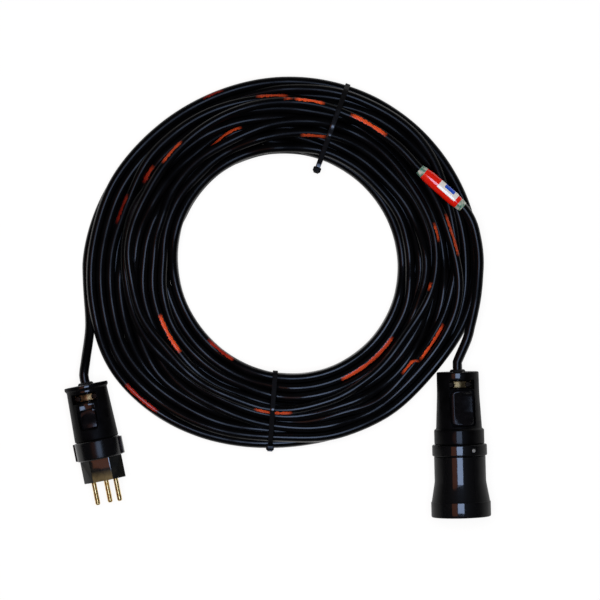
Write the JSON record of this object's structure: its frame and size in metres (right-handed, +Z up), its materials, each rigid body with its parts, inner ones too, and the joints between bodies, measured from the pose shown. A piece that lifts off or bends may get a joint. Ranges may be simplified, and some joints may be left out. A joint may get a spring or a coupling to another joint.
{
  "type": "shore power extension cord",
  "caption": "Black rubber mains extension cord, wound into a flat round coil and tied, with a three-pin plug and a round coupler.",
  "frame": {"origin": "the centre of the coil's eye, on the surface that the cord lies on", "axes": "+X towards the coupler's side, +Y away from the two connectors, +Z up out of the coil's flat side"},
  "size_m": [0.3544, 0.3651, 0.049],
  "materials": {
    "cord_rubber": "satin black rubber jacket",
    "nylon": "black moulded nylon",
    "label_film": "printed film, red with white and blue",
    "clear_tape": "clear tape over the label's ends",
    "connector_rubber": "black moulded rubber, slightly glossy",
    "soft_rubber": "soft black rubber",
    "plated_steel": "yellow-passivated steel",
    "gloss_inlay": "polished black plastic, bare",
    "ring_plastic": "glossy black moulded plastic",
    "seal_rubber": "red-brown rubber",
    "carrier_plastic": "black thermoset, smooth",
    "block_plastic": "buff thermoset",
    "pin_brass": "bright brass, a little dulled",
    "spring_steel": "bright spring wire",
    "core_brown": "brown core insulation",
    "core_blue": "blue core insulation",
    "core_green_yellow": "green and yellow core insulation"
  },
  "bodies": {
    "root": {"cord_coil": "cord_rubber", "plug_cord_tail": "cord_rubber", "coupler_cord_tail": "cord_rubber", "top_tie": "nylon", "bottom_tie": "nylon", "label_sleeve": "label_film", "label_tape_bands": "clear_tape", "plug_handle_shell": "connector_rubber", "plug_grommet": "soft_rubber", "plug_clamp_bridge": "plated_steel", "plug_clamp_screws": "plated_steel", "plug_thumb_plate": "gloss_inlay", "plug_seal": "seal_rubber", "plug_pin_carrier": "carrier_plastic", "plug_pin_line": "pin_brass", "plug_pin_neutral": "pin_brass", "plug_pin_earth": "pin_brass", "plug_terminal_screws": "plated_steel", "plug_core_line": "core_brown", "plug_core_neutral": "core_blue", "plug_core_earth": "core_green_yellow", "coupler_handle_shell": "connector_rubber", "coupler_grommet": "soft_rubber", "coupler_clamp_bridge": "plated_steel", "coupler_clamp_screws": "plated_steel", "coupler_thumb_plate": "gloss_inlay", "coupler_seal": "seal_rubber", "coupler_sleeve": "connector_rubber", "coupler_face_insert": "carrier_plastic", "coupler_contact_block": "block_plastic", "coupler_contact_line": "pin_brass", "coupler_contact_neutral": "pin_brass", "coupler_contact_earth": "pin_brass", "coupler_contact_springs": "spring_steel", "coupler_terminal_screws": "plated_steel", "coupler_insert_screws": "plated_steel", "coupler_core_line": "core_brown", "coupler_core_neutral": "core_blue", "coupler_core_earth": "core_green_yellow"},
    "plug_ring": {"plug_union_ring": "ring_plastic"},
    "coupler_ring": {"coupler_union_ring": "ring_plastic"}
  },
  "joints": [
    {"name": "plug_ring_turn", "type": "hinge", "parent": "root", "child": "plug_ring", "pos_m": [-0.15353, -0.15481, 0.0195], "axis": [0.1994, -0.9799, 0], "range_deg": [0, 30]},
    {"name": "coupler_ring_turn", "type": "hinge", "parent": "root", "child": "coupler_ring", "pos_m": [0.14695, -0.15548, 0.0245], "axis": [0.0262, -0.9997, 0], "range_deg": [0, 30]}
  ]
}
